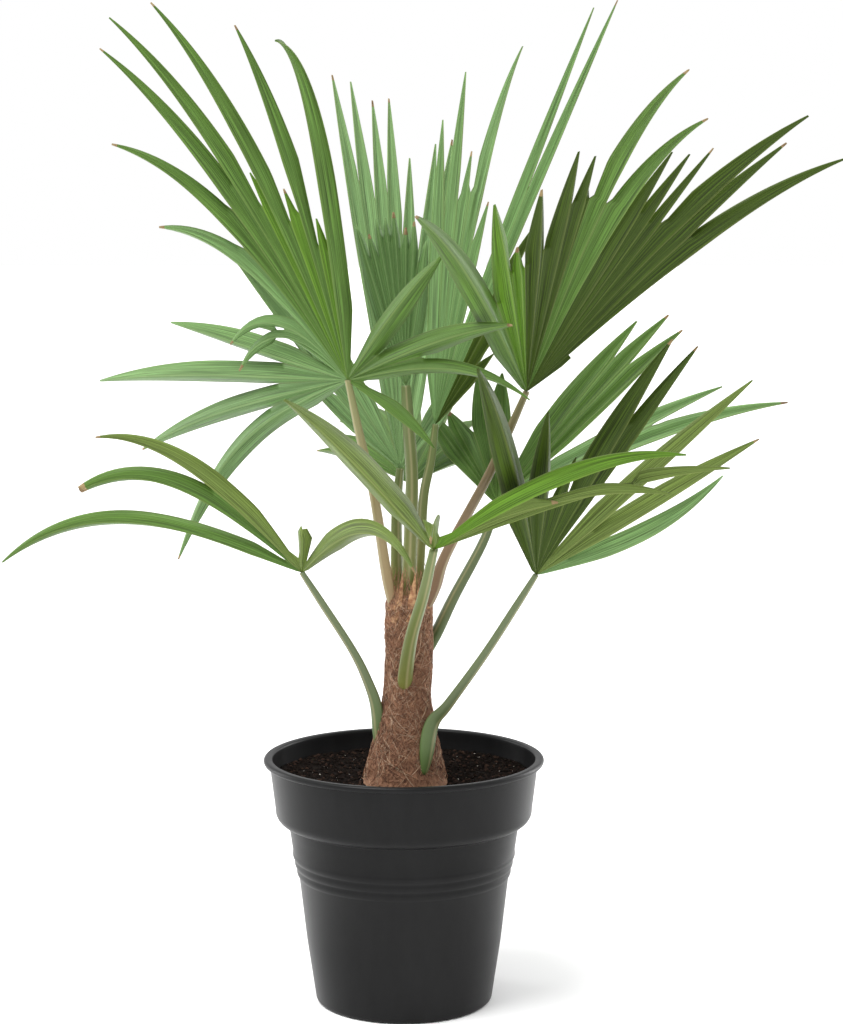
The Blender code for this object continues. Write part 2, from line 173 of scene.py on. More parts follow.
# Stalks: each foot runs out thin where it leaves the trunk
STALK_ROWS = 70
STALK_SIDES = 20
STALK_LOOK = 0.01
STALK_HUB_SHARE = 0.75
STALK_WIDTH = 1.08
STALK_BACK = 0.95
STALK_FACE = 0.82
STALK_CHANNEL = 0.18
STALK_MARGIN = 0.18
STALK_MARGIN_POWER = 8
FOOT_SHARE = 0.14
FOOT_THINNESS = 0.3

# Blades
BLADE_THICKNESS = 0.7
RING_STEP = 7.0
WALK_STEP = 6.0
PLEAT_SLOPE = 0.5
PLEAT_BELLY = 0.05
BASE_HALF_WIDTH = 1.5
WIDENING = 0.13
FEWEST_JOINED = 2
JOINED_SHARE = 0.85
PARTED = 0.35
EASING = 0.07
THINNEST = 0.5
TAPER_START = 0.5
TAPER_POWER = 1.7
POINTED = 0.07
BLUNT = 0.3
DRY_TIP_LENGTH = 7.0
STRIPS = ((0.0, 0.25), (0.25, 0.5), (0.5, 0.75), (0.75, 1.0))
MARK_SPAN = 100
MARK_SHIFT = 0.37

Leaflet = namedtuple("Leaflet", "tint angle length droop width tip", defaults=(0.0, 1.0, POINTED))
Frond = namedtuple("Frond", "name hub heading rise roll width stalk leaflets stalk_tint")
Plane = namedtuple("Plane", "middle side normal")
Relief = namedtuple("Relief", "height frequency span twist")
Lumps = namedtuple("Lumps", "name count smallest largest dark light")
Strands = namedtuple("Strands", "name count shortest longest radius dark light")
Grain = namedtuple("Grain", "scale detail roughness stretch", defaults=(3.0, 0.55, (1.0, 1.0, 1.0)))


def leaflets(tint, *rows):
    """Leaflets of one green, each row giving angle, length, droop, width and tip."""
    return tuple(Leaflet(tint, *row) for row in rows)


# Each stalk's places are x, y, z and radius, from the trunk to just short of the hub
# The deep green on leaflets of the right-hand fans is painted shade, and the pale green of the tall back
# fan is painted light
FRONDS = (
    Frond("left_high", (-45, -60, 539), 225, 70, 0, 20,
          ((-6, -4, 335, 5.0), (-14, -12, 370, 4.6), (-24, -36, 440, 4.0), (-36, -52, 495, 3.6)),
          leaflets("teal", (-108, 320, 1.3, 0.9), (-101, 305, 0.25, 0.9), (-90, 330, 0.15),
              (-76, 210, 0.1), (-52, 105, 0.6, 0.6), (-46, 125, 2.0, 0.6),
              (-40, 130, 1.6, 0.6), (-36, 215, 0.75))
          + leaflets("mid", (-31, 285, 0.65), (-26, 340, 0.4), (-20, 350, 0.45), (-11, 340, 0.5),
              (1, 305, 0.45), (12, 345, 0.95), (51, 185, 0.15, 0.9), (70, 215, 0.25, 0.9),
              (78, 220, 0.65, 0.6), (118, 100, 0.3, 0.8))
          + leaflets("fresh", (-15.5, 185), (-5, 165), (6, 140)),
          "tan"),
    Frond("centre_young", (2, -10, 531), 270, 85, 0, 16,
          ((2, -3, 335, 5.0), (5, -5, 380, 4.8), (7, -7, 450, 4.2), (4, -9, 500, 4.0)),
          leaflets("teal", (-17, 140), (-13.5, 130), (-10, 141), (-7, 141), (-4, 145), (0, 132),
              (3, 137), (8, 122)),
          "olive"),
    Frond("right_centre", (27, 20, 496), 45, 70, 0, 17,
          ((10, 9, 335, 5.0), (14, 12, 390, 4.4), (17, 16, 435, 4.0), (23, 18, 465, 3.7)),
          leaflets("teal", (17, 290), (12.5, 330), (9, 250), (5.5, 365, 0.55), (1, 200),
              (-9.5, 380, 0, 0.8), (-13, 390, 0, 0.8))
          + leaflets("deep", (-18, 190, 0, 1.2), (-27, 110), (-36, 80)),
          "olive"),
    Frond("right_high", (100, -80, 531), 312, 52, 0, 22,
          ((14, -4, 335, 6.0), (26, -12, 360, 5.2), (36, -28, 392, 4.6), (69, -60, 459, 4.0),
           (86, -72, 498, 3.6)),
          leaflets("mid", (-47, 320, 0.35, 0.9), (-13, 370, 0.55), (-7, 320, 0.6))
          + leaflets("fresh", (-38, 240), (-34, 180))
          + leaflets("deep", (-28, 230), (-21, 255), (-17, 245), (2, 240), (7, 240),
              (12, 250, 0, 0.7), (17, 315, 0.35, 1.15), (24, 285, 0.15), (30, 315, 0.4),
              (38, 45, 0, 0.8, BLUNT)),
          "russet"),
    Frond("right_mid", (80, 30, 427), 30, 40, 25, 24,
          ((8, 4, 286, 5.0), (26, 12, 314, 4.8), (43, 18, 348, 4.2), (68, 26, 394, 3.6)),
          leaflets("mid", (71, 130), (64, 125), (49, 160), (41, 150), (8, 225, 0.05),
              (2.5, 243, 0.05), (-3, 235, 0.05))
          + leaflets("teal", (-22, 220, 0.1, 0.8), (-28, 265, 0.3, 0.8)),
          "sage"),
    Frond("right_low", (111, -30, 374), 315, 60, -5, 22,
          ((17, -26, 202, 7.0), (23, -17, 242, 6.5), (38, -19, 262, 4.6), (68, -24, 305, 3.8),
           (95, -28, 348, 3.4)),
          leaflets("deep", (-37, 287, 0.35), (-23.5, 178), (-8, 120, 0, 0.8), (6, 236, 0.1, 1.2),
              (14, 236, 0.1))
          + leaflets("olive", (38, 245), (56, 237))
          + leaflets("teal", (77, 219, -0.6)),
          "sage"),
    Frond("front", (25, -110, 406), 290, 45, 0, 20,
          ((1, -14, 272, 5.0), (2, -25, 292, 5.2), (7, -50, 326, 4.6), (17, -88, 367, 4.0)),
          leaflets("olive", (-38, 268, 0.2), (-16, 90, 1.6, 0.7), (46, 110, 0.4, 1.2),
              (52, 198, 0.6), (57, 246, 0.35))
          + leaflets("fresh", (41, 225, 0.55)),
          "olive"),
    Frond("left_low", (-86, -10, 373), 235, 60, 0, 20,
          ((-21, -6, 214, 5.0), (-23, -6, 254, 5.0), (-31, -7, 280, 4.2), (-44, -8, 307, 3.6),
           (-70, -9, 348, 3.3)),
          leaflets("mid", (-69, 315, 1.05, 0.8), (-40, 216, 1.1, 1, BLUNT))
          + leaflets("olive", (-30, 214, 0.8), (23, 52, 0, 1, BLUNT), (51, 195, 1.35, 0.9)),
          "sage"),
    Frond("back_tall", (-3, 30, 457), 125, 72, 0, 18,
          ((-6, 9, 335, 5.0), (-6, 18, 380, 4.6), (-6, 26, 425, 4.0)),
          leaflets("pale", (-45, 230), (-22, 321), (-19, 310), (-14, 288), (-10, 340), (-7, 335),
              (-3.5, 350), (-0.5, 355), (24, 290), (34, 240), (44, 120)),
          "olive"),
    Frond("back_low", (5, 72, 440), 90, 20, 0, 20,
          ((4, 14, 335, 5.0), (5, 27, 375, 4.4), (5, 51, 418, 3.8)),
          leaflets("mid", *((angle, 250 - 3 * abs(angle), 0.35) for angle in range(-40, 41, 10))),
          "sage"),
)

# Greens of the leaflets, where the deep green is painted shade and the pale green is painted light, and
# colours of the stalks at foot, middle and hub
LEAF_TINTS = {
    "teal": (0.115, 0.215, 0.075),
    "mid": (0.068, 0.138, 0.026),
    "fresh": (0.075, 0.165, 0.014),
    # Painted shade: the deep green is a darker copy of the middle green, for leaflets on the right of the
    # crown
    "deep": (0.034, 0.062, 0.006),
    # Painted light: the pale green is a lighter copy of the teal green, for the tall back fan
    "pale": (0.185, 0.320, 0.135),
    "olive": (0.100, 0.150, 0.034),
}
LEAF_MARGIN = (0.18, 0.22, 0.07)
SUNNED_GAIN = (1.5, 1.25, 0.9)
RIB_GAIN = (1.6, 1.4, 1.5)
RIB_LIFT = (0.07, 0.07, 0.03)
STALK_TINTS = {
    "tan": ((0.22, 0.13, 0.06), (0.21, 0.16, 0.07), (0.13, 0.16, 0.05)),
    "olive": ((0.17, 0.17, 0.03), (0.11, 0.13, 0.035), (0.09, 0.13, 0.035)),
    "russet": ((0.13, 0.06, 0.03), (0.14, 0.085, 0.04), (0.11, 0.12, 0.04)),
    "sage": ((0.07, 0.13, 0.025), (0.085, 0.11, 0.045), (0.09, 0.12, 0.05)),
}
STALK_PALE_EDGE = (0.38, 0.33, 0.17)
DRY_TIP_BASE = (0.24, 0.16, 0.07)
DRY_TIP_DARK = (0.14, 0.08, 0.03)
DRY_TIP_LIGHT = (0.30, 0.22, 0.10)

# Colours of the bark, soil, pot and floor
BARK_BASE = (0.20, 0.11, 0.065)
# Painted shade: the bark's hollow colour darkens the low parts of its bump relief
BARK_HOLLOW_SHADE = (0.085, 0.036, 0.020)
BARK_FIBRE = (0.27, 0.13, 0.072)
BARK_CREST = (0.50, 0.28, 0.165)
BARK_PATCH = (0.30, 0.155, 0.09)
SOIL_DARK = (0.003, 0.0018, 0.0014)
SOIL_LIGHT = (0.013, 0.009, 0.007)
TUFT_DARK = (0.16, 0.07, 0.035)
TUFT_LIGHT = (0.40, 0.22, 0.12)
SHEATH_DARK = (0.24, 0.10, 0.045)
SHEATH_LIGHT = (0.50, 0.30, 0.15)
PLASTIC_BASE = (0.006, 0.006, 0.0062)
PLASTIC_DARK = (0.005, 0.005, 0.0052)
PLASTIC_LIGHT = (0.008, 0.008, 0.0083)
FLOOR_COLOUR = (0.93, 0.93, 0.93)

# Grain of the finishes, and the strength and depth in millimetres of their relief
VEIN_GRAIN = Grain(2.0, 3.0, 0.6, (26.0, 0.5, 1.0))
MOTTLE_GRAIN = Grain(2.5, 3.0, 0.6, (1.5, 1.2, 1.0))
STREAK_GRAIN = Grain(2.0, stretch=(14.0, 2.0, 1.0))
TIP_GRAIN = Grain(180.0)
STRAND_GRAIN = Grain(320.0)
BARK_MATTING = Grain(210.0, 6.0, 0.7, (1.0, 1.0, 0.35))
BARK_PATCHES = Grain(28.0)
PLASTIC_GRAIN = Grain(1400.0, 2.0)
PLASTIC_SCUFFS = Grain(35.0, 5.0, 0.65, (1.0, 1.0, 0.3))
SOIL_GRAIN = Grain(260.0, 6.0, 0.7)
LEAF_BUMP = (0.35, 0.6)
STALK_BUMP = (0.3, 0.8)
BARK_BUMP = (0.9, 2.0)
PLASTIC_BUMP = (0.12, 0.3)
SOIL_BUMP = (0.8, 2.5)
RIB_SHARPNESS = 18.0
MARGIN_START = 0.46
MARGIN_SHARPNESS = 25.0
STALK_MARGIN_SHARPNESS = 9.0

BARK_LAYERS = (
    Relief(1.0, 1.6, 26.0, 0.0),
    Relief(0.9, 3.0, 7.0, 1.0),
    Relief(0.5, 11.0, 5.0, 0.0),
)
SOIL_LUMPS = (
    Lumps("soil_crumbs", 5200, 0.7, 2.6, (0.003, 0.002, 0.0015), (0.020, 0.013, 0.010)),
    Lumps("soil_bark_bits", 900, 0.8, 3.0, (0.014, 0.008, 0.006), (0.06, 0.034, 0.024)),
    Lumps("soil_pale_grains", 260, 0.5, 1.1, (0.30, 0.26, 0.23), (0.62, 0.57, 0.52)),
)
TRUNK_STRANDS = (
    Strands("trunk_fibres_brown", 3600, 8, 34, 0.30, (0.20, 0.09, 0.05), (0.42, 0.22, 0.125)),
    Strands("trunk_fibres_dark", 700, 8, 30, 0.28, (0.06, 0.025, 0.015), (0.15, 0.07, 0.04)),
    Strands("trunk_fibres_pale", 700, 10, 40, 0.26, (0.42, 0.27, 0.17), (0.62, 0.45, 0.31)),
)

# Studio, in metres and watts
FLOOR_REACH = 30.0
ROOM_LIGHT = 1.0
WINDOW_LIGHT = 2.9
WINDOW_SPREAD = 32.0
WINDOW_DIRECTION = (0.75, 0.6, -2.0)
PANEL_SIZE = (0.5, 1.6)
PANEL_TARGET = (0, 0, 0.15)
LEFT_PANEL = (-1.7, 0.95, 0.5)
LEFT_PANEL_POWER = 13
RIGHT_PANEL = (1.6, 1.2, 0.5)
RIGHT_PANEL_POWER = 24


def vector(place):
    return Vector(place) * MM


def add_piece(name, mesh, *materials):
    """A smooth-shaded piece that rides on the plant's one body."""
    for material in materials:
        mesh.materials.append(material)
    mesh.shade_smooth()
    piece = bpy.data.objects.new(name, mesh)
    bpy.context.scene.collection.objects.link(piece)
    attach(piece, "root")
    return piece


def mesh_from(name, places, faces):
    mesh = bpy.data.meshes.new(name)
    mesh.from_pydata([vector(place) for place in places], [], faces)
    mesh.update()
    return mesh


def ring_places(radius, height, segments):
    """Evenly spaced places round the pot's axis."""
    angles = [TURN * step / segments for step in range(segments)]
    return [(radius * cos(angle), radius * sin(angle), height) for angle in angles]


def ring_faces(start, rows, sides, reverse=False):
    """The faces between closed rings of places that follow each other."""
    faces = []
    for row in range(rows):
        for side in range(sides):
            after = (side + 1) % sides
            low = start + row * sides
            high = low + sides
            face = (low + side, low + after, high + after, high + side)
            faces.append(face[:1] + face[:0:-1] if reverse else face)
    return faces


def tip_faces(tip, ring, sides, reverse=False):
    """The faces from one place to the ring round it."""
    faces = [(tip, ring + side, ring + (side + 1) % sides) for side in range(sides)]
    return [face[::-1] for face in faces] if reverse else faces


def tube_faces(start, rows, sides):
    """The faces of a tube that is closed at both ends."""
    last = start + rows * sides
    ends = [tuple(reversed(range(start, start + sides))), tuple(range(last, last + sides))]
    return ring_faces(start, rows, sides) + ends


def add_thickness(piece, thickness):
    modifier = piece.modifiers.new("Thickness", "SOLIDIFY")
    modifier.thickness = thickness * MM
    modifier.offset = 0.0


# Node helpers

def new_material(name, colour, roughness):
    material = bpy.data.materials.new(name)
    material.use_nodes = True
    shader = material.node_tree.nodes["Principled BSDF"]
    shader.inputs["Base Color"].default_value = (*colour, 1.0)
    shader.inputs["Roughness"].default_value = roughness
    return material, material.node_tree, shader


def add_node(tree, kind, **settings):
    node = tree.nodes.new(kind)
    for key, value in settings.items():
        setattr(node, key, value)
    return node


def feed(tree, socket, value):
    """Set a socket to a number, place or colour, or link another node's output to it."""
    if isinstance(value, bpy.types.NodeSocket):
        tree.links.new(value, socket)
    elif socket.type == "RGBA":
        socket.default_value = (*value, 1.0)
    else:
        socket.default_value = value


def math_node(tree, operation, *values, clamp=False):
    node = add_node(tree, "ShaderNodeMath", operation=operation, use_clamp=clamp)
    for socket, value in zip(node.inputs, values):
        feed(tree, socket, value)
    return node.outputs[0]


def mix_colour(tree, mask, amount, first, second):
    """Mix two colours by a mask. Sockets 0, 6 and 7 of the Mix node are its share and colours."""
    node = add_node(tree, "ShaderNodeMix", data_type="RGBA")
    share = math_node(tree, "MULTIPLY", mask, amount)
    for index, value in ((0, share), (6, first), (7, second)):
        feed(tree, node.inputs[index], value)
    return node.outputs[2]


def ramp_node(tree, share, *stops):
    """Turn a share into a colour, by stops of a position and a colour each."""
    node = add_node(tree, "ShaderNodeValToRGB")
    elements = node.color_ramp.elements
    while len(elements) < len(stops):
        elements.new(0.5)
    for element, (position, colour) in zip(elements, stops):
        element.position = position
        element.color = (*colour, 1.0)
    tree.links.new(share, node.inputs[0])
    return node.outputs[0]


def bump_into(tree, shader, height, relief):
    strength, depth = relief
    node = add_node(tree, "ShaderNodeBump")
    node.inputs["Strength"].default_value = strength
    node.inputs["Distance"].default_value = depth * MM
    tree.links.new(height, node.inputs["Height"])
    tree.links.new(node.outputs[0], shader.inputs["Normal"])


def noise_over(tree, coordinates, scale, detail, roughness, stretch):
    """Noise over coordinates, drawn out along the axes where stretch is small."""
    mapping = add_node(tree, "ShaderNodeMapping")
    pattern = add_node(tree, "ShaderNodeTexNoise")
    feed(tree, mapping.inputs["Vector"], coordinates)
    feed(tree, mapping.inputs["Scale"], stretch)
    feed(tree, pattern.inputs["Vector"], mapping.outputs[0])
    for name, value in (("Scale", scale), ("Detail", detail), ("Roughness", roughness)):
        feed(tree, pattern.inputs[name], value)
    return pattern.outputs["Fac"]


def shade(colour, amount):
    return tuple(channel * amount for channel in colour)


def regained(colour, gain, lift=(0.0, 0.0, 0.0)):
    return tuple(channel * factor + more for channel, factor, more in zip(colour, gain, lift))


# Shared effects

def new_group(name, inputs, outputs):
    """A node group with named sockets, and the two ends inside it."""
    group = bpy.data.node_groups.new(name, "ShaderNodeTree")
    for socket_name in inputs:
        kind = "NodeSocketVector" if socket_name == "Stretch" else "NodeSocketFloat"
        group.interface.new_socket(socket_name, in_out="INPUT", socket_type=kind)
    for socket_name in outputs:
        group.interface.new_socket(socket_name, in_out="OUTPUT", socket_type="NodeSocketFloat")
    return group, add_node(group, "NodeGroupInput").outputs, add_node(group, "NodeGroupOutput").inputs


def place_group(tree, group, values):
    """Place a shared effect with its own values, in the order of its inputs."""
    node = add_node(tree, "ShaderNodeGroup", node_tree=group)
    for socket, value in zip(node.inputs, values):
        feed(tree, socket, value)
    return node.outputs


def split_marks(tree):
    """The UV marks of a surface, and their two shares across and along it."""
    place = add_node(tree, "ShaderNodeUVMap", uv_map="UVMap")
    split = add_node(tree, "ShaderNodeSeparateXYZ")
    tree.links.new(place.outputs[0], split.inputs[0])
    return place.outputs[0], split.outputs[0], split.outputs[1]


def grain_group():
    """Uneven grain through the solid, for bark, fibre, soil, plastic and dry tips."""
    names = ("Scale", "Detail", "Roughness", "Stretch")
    group, source, result = new_group("grain", names, ("Pattern",))
    place = add_node(group, "ShaderNodeTexCoord").outputs["Object"]
    group.links.new(noise_over(group, place, *(source[name] for name in names)), result["Pattern"])
    return group


def leaf_veins_group():
    """The pale rib and margins of a leaflet, and the fine veins along it."""
    group, source, result = new_group("leaf_veins", ("Rib Sharpness", "Margin Start", "Margin Sharpness"),
                                      ("Rib", "Margin", "Veins", "Mottle"))
    place, across, _ = split_marks(group)
    from_rib = math_node(group, "ABSOLUTE", math_node(group, "SUBTRACT", across, 0.5))
    thinned = math_node(group, "MULTIPLY", from_rib, source["Rib Sharpness"])
    beyond = math_node(group, "SUBTRACT", from_rib, source["Margin Start"])
    margin = math_node(group, "MULTIPLY", beyond, source["Margin Sharpness"], clamp=True)
    group.links.new(math_node(group, "SUBTRACT", 1.0, thinned, clamp=True), result["Rib"])
    group.links.new(margin, result["Margin"])
    group.links.new(noise_over(group, place, *VEIN_GRAIN), result["Veins"])
    group.links.new(noise_over(group, place, *MOTTLE_GRAIN), result["Mottle"])
    return group


def stalk_streaks_group():
    """The way along a stalk, its streaks and its two pale margins."""
    group, source, result = new_group("stalk_streaks", ("Margin Sharpness",),
                                      ("Along", "Streaks", "Pale Margin"))
    place, around, along = split_marks(group)
    half_turns = math_node(group, "FRACT", math_node(group, "MULTIPLY", around, 2.0))
    from_margin = math_node(group, "ABSOLUTE", math_node(group, "SUBTRACT", half_turns, 0.5))
    thinned = math_node(group, "MULTIPLY", from_margin, source["Margin Sharpness"])
    group.links.new(along, result["Along"])
    group.links.new(noise_over(group, place, *STREAK_GRAIN), result["Streaks"])
    group.links.new(math_node(group, "SUBTRACT", 1.0, thinned, clamp=True), result["Pale Margin"])
    return group


GRAIN = grain_group()
LEAF_VEINS = leaf_veins_group()
STALK_STREAKS = stalk_streaks_group()


def add_grain(tree, grain):
    return place_group(tree, GRAIN, grain)["Pattern"]


# Finishes

def leaf_material(name, colour):
    material, tree, shader = new_material(name, colour, 0.42)
    shader.inputs["Specular IOR Level"].default_value = 0.14
    effects = place_group(tree, LEAF_VEINS, (RIB_SHARPNESS, MARGIN_START, MARGIN_SHARPNESS))
    sunned = regained(colour, SUNNED_GAIN)
    rib_colour = regained(colour, RIB_GAIN, RIB_LIFT)
    veined = ramp_node(tree, effects["Veins"], (0.36, shade(colour, 0.3)), (0.5, colour),
                       (0.62, shade(colour, 1.8)))
    weathered = mix_colour(tree, effects["Mottle"], 0.35, veined, sunned)
    ribbed = mix_colour(tree, effects["Rib"], 0.75, weathered, rib_colour)
    edged = mix_colour(tree, effects["Margin"], 0.5, ribbed, LEAF_MARGIN)
    rough = math_node(tree, "ADD", math_node(tree, "MULTIPLY", effects["Veins"], 0.25), 0.3)
    tree.links.new(edged, shader.inputs["Base Color"])
    tree.links.new(rough, shader.inputs["Roughness"])
    bump_into(tree, shader, effects["Veins"], LEAF_BUMP)
    return material


def stalk_material(name, foot, middle, top):
    material, tree, shader = new_material(name, middle, 0.45)
    effects = place_group(tree, STALK_STREAKS, (STALK_MARGIN_SHARPNESS,))
    along = ramp_node(tree, effects["Along"], (0.08, foot), (0.4, middle), (0.9, top))
    streaked = mix_colour(tree, effects["Streaks"], 0.5, along, shade(middle, 1.7))
    margined = mix_colour(tree, effects["Pale Margin"], 0.55, streaked, STALK_PALE_EDGE)
    tree.links.new(margined, shader.inputs["Base Color"])
    bump_into(tree, shader, effects["Streaks"], STALK_BUMP)
    return material


def speckled_material(name, base, roughness, grain, dark, light):
    """A dry finish that wanders between a dark and a light tone."""
    material, tree, shader = new_material(name, base, roughness)
    speckles = ramp_node(tree, add_grain(tree, grain), (0.35, dark), (0.65, light))
    tree.links.new(speckles, shader.inputs["Base Color"])
    return material


def strand_material(name, dark, light):
    return speckled_material(name, light, 0.85, STRAND_GRAIN, dark, light)


def bark_material():
    material, tree, shader = new_material("matted_bark", BARK_BASE, 0.9)
    matting = add_grain(tree, BARK_MATTING)
    patches = add_grain(tree, BARK_PATCHES)
    # Painted shade in the hollows of the relief that also makes the bump, and lighter fibre on its crests
    fibre = ramp_node(tree, matting, (0.32, BARK_HOLLOW_SHADE), (0.5, BARK_FIBRE), (0.68, BARK_CREST))
    mixed = mix_colour(tree, patches, 1.0, fibre, BARK_PATCH)
    tree.links.new(mixed, shader.inputs["Base Color"])
    bump_into(tree, shader, matting, BARK_BUMP)
    return material


def plastic_material():
    material, tree, shader = new_material("charcoal_plastic", PLASTIC_BASE, 0.38)
    shader.inputs["Specular IOR Level"].default_value = 0.15
    fine_grain = add_grain(tree, PLASTIC_GRAIN)
    scuffs = add_grain(tree, PLASTIC_SCUFFS)
    colour = ramp_node(tree, scuffs, (0.35, PLASTIC_DARK), (0.7, PLASTIC_LIGHT))
    rough = math_node(tree, "ADD", math_node(tree, "MULTIPLY", scuffs, 0.16), 0.3)
    tree.links.new(colour, shader.inputs["Base Color"])
    tree.links.new(rough, shader.inputs["Roughness"])
    bump_into(tree, shader, fine_grain, PLASTIC_BUMP)
    return material


def soil_material(name, dark, light):
    material, tree, shader = new_material(name, light, 0.95)
    shader.inputs["Specular IOR Level"].default_value = 0.08
    crumbs = add_grain(tree, SOIL_GRAIN)
    colour = ramp_node(tree, crumbs, (0.35, dark), (0.7, light))
    tree.links.new(colour, shader.inputs["Base Color"])
    bump_into(tree, shader, crumbs, SOIL_BUMP)
    return material


# Pot

def arc(centre_radius, centre_z, radius, start, stop, steps):
    points = []
    for step in range(steps + 1):
        angle = radians(start + (stop - start) * step / steps)
        points.append((centre_radius + radius * cos(angle), centre_z + radius * sin(angle)))
    return points


def rib_profile():
    """The fine ribs, each a smooth bulge and then a step inwards."""
    points = []
    for rib in range(RIB_COUNT):
        for step in range(RIB_POINTS):
            share = step / RIB_POINTS
            bulge = RIB_BULGE * sin(pi * share)
            radius = RIB_TOP_RADIUS - (rib + share ** 2) * RIB_STEP + bulge
            points.append((radius, RIB_TOP_Z - (rib + share) * RIB_PITCH))
    points.append((RIB_FOOT_RADIUS, RIB_FOOT_Z))
    return points


def pot_inner_profile():
    """From the middle of the floor up the inside of the wall to the lip."""
    lip_inside = COLLAR_TOP_RADIUS - WALL
    points = [
        (0.0, FLOOR_THICKNESS),
        (BODY_FOOT_RADIUS - WALL, FLOOR_THICKNESS),
        (RIB_FOOT_RADIUS - WALL, RIB_FOOT_Z),
        (BODY_TOP_RADIUS - WALL, COLLAR_FOOT_Z - COLLAR_ROUND),
        (COLLAR_FOOT_RADIUS - WALL, COLLAR_FOOT_Z),
        (lip_inside, POT_HEIGHT - INNER_LIP_FOOT),
    ]
    return points + arc(lip_inside + INNER_LIP_ROUND, POT_HEIGHT - INNER_LIP_DROP, INNER_LIP_ROUND,
                        180, 95, 4)


def pot_outer_profile():
    """From the rolled lip down the collar, the waist, the ribs and the body to the foot."""
    lip_centre = POT_HEIGHT - LIP_ROLL
    collar_corner = COLLAR_FOOT_Z - COLLAR_EDGE
    waist_radius = (1.0 - WAIST_SHARE) * BODY_TOP_RADIUS + WAIST_SHARE * RIB_TOP_RADIUS
    points = arc(LIP_RADIUS - LIP_ROLL, lip_centre, LIP_ROLL, 90, -90, 10)
    points += arc(COLLAR_TOP_RADIUS + LIP_FILLET_OUT, lip_centre - LIP_ROLL - LIP_FILLET, LIP_FILLET,
                  90, 180, 4)
    points.append((COLLAR_FOOT_RADIUS + COLLAR_EDGE_OUT, COLLAR_FOOT_Z + COLLAR_EDGE))
    points += arc(COLLAR_FOOT_RADIUS - COLLAR_ROUND, collar_corner, COLLAR_ROUND, -6, -86, 10)
    points += arc(BODY_TOP_RADIUS + BODY_FILLET, COLLAR_FOOT_Z - COLLAR_ROUND - BODY_FILLET_DROP,
                  BODY_FILLET, 110, 180, 4)
    points.append((waist_radius, WAIST_Z))
    points += rib_profile()
    points.append((0.5 * (RIB_FOOT_RADIUS + BODY_FOOT_RADIUS) + BODY_BULGE, 0.5 * RIB_FOOT_Z))
    points += arc(BODY_FOOT_RADIUS - FOOT_ROUND, FOOT_ROUND, FOOT_ROUND, 0, -90, 6)
    points.append((0.0, 0.0))
    return points


def turned_mesh(name, profile, segments):
    """A closed turned shape whose profile starts and ends on the axis."""
    rings = profile[1:-1]
    places = [(0.0, 0.0, profile[0][1])]
    for radius, height in rings:
        places += ring_places(radius, height, segments)
    last = len(places)
    places.append((0.0, 0.0, profile[-1][1]))
    faces = tip_faces(0, 1, segments) + ring_faces(1, len(rings) - 1, segments, reverse=True)
    faces += tip_faces(last, last - segments, segments, reverse=True)
    return mesh_from(name, places, faces)


def build_pot():
    shell = turned_mesh("pot_shell", pot_inner_profile() + pot_outer_profile(), POT_SEGMENTS)
    piece = add_piece("pot_shell", shell, plastic_material())
    shell.set_sharp_from_angle(angle=radians(POT_CREASE))
    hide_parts("pot")


# Soil

def soil_height(x, y):
    climb = (hypot(x, y) - SOIL_FLAT_RADIUS) / (SOIL_RADIUS - SOIL_FLAT_RADIUS)
    share = min(max(climb, 0.0), 1.0)
    swell = noise.noise(Vector((x / SWELL_SPAN, y / SWELL_SPAN, 0.0))) * SWELL_HEIGHT
    crumb = noise.noise(Vector((x / CRUMB_SPAN, y / CRUMB_SPAN, CRUMB_LAYER))) * CRUMB_HEIGHT
    return SOIL_Z + share * (SOIL_EDGE_Z - SOIL_Z) + swell + crumb


def build_soil():
    """A closed bed with an uneven top, and a plain skirt and underside."""
    places = [(0.0, 0.0, SOIL_Z)]
    for ring in range(1, SOIL_RINGS + 1):
        for x, y, _ in ring_places(SOIL_RADIUS * ring / SOIL_RINGS, 0.0, SOIL_SEGMENTS):
            places.append((x, y, soil_height(x, y)))
    places += ring_places(SOIL_RADIUS, SOIL_Z - SOIL_DEPTH, SOIL_SEGMENTS)
    underside = len(places)
    places.append((0.0, 0.0, SOIL_Z - SOIL_DEPTH))
    faces = tip_faces(0, 1, SOIL_SEGMENTS) + ring_faces(1, SOIL_RINGS, SOIL_SEGMENTS, reverse=True)
    faces += tip_faces(underside, underside - SOIL_SEGMENTS, SOIL_SEGMENTS, reverse=True)
    bed = soil_material("moist_soil", SOIL_DARK, SOIL_LIGHT)
    piece = add_piece("soil_bed", mesh_from("soil_bed", places, faces), bed)
    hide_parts("soil")


def lump_mesh(lumps, rng):
    """Many small lumps strewn over the soil, each an uneven eight-sided crumb."""
    corners = [(1, 0, 0), (-1, 0, 0), (0, 1, 0), (0, -1, 0), (0, 0, 1), (0, 0, -1)]
    sides = [(0, 2, 4), (2, 1, 4), (1, 3, 4), (3, 0, 4), (2, 0, 5), (1, 2, 5), (3, 1, 5), (0, 3, 5)]
    nearest = trunk_radius(SOIL_Z) + TRUNK_CLEARANCE
    places = []
    faces = []
    while len(faces) < lumps.count * len(sides):
        angle = rng.uniform(0, TURN)
        radius = SOIL_RADIUS * sqrt(rng.random()) - lumps.largest
        if radius < nearest:
            continue
        x = radius * cos(angle)
        y = radius * sin(angle)
        size = rng.uniform(lumps.smallest, lumps.largest) * rng.uniform(*LUMP_SIZES)
        turn = rng.uniform(0, TURN)
        middle = soil_height(x, y) + LUMP_LIFT * size
        start = len(places)
        for along, across, up in corners:
            grow = size * rng.uniform(*LUMP_UNEVEN)
            east = (along * cos(turn) - across * sin(turn)) * grow
            north = (along * sin(turn) + across * cos(turn)) * grow
            places.append((x + east, y + north, middle + up * grow * LUMP_FLATNESS))
        faces += [tuple(start + corner for corner in side) for side in sides]
    return mesh_from(lumps.name, places, faces)


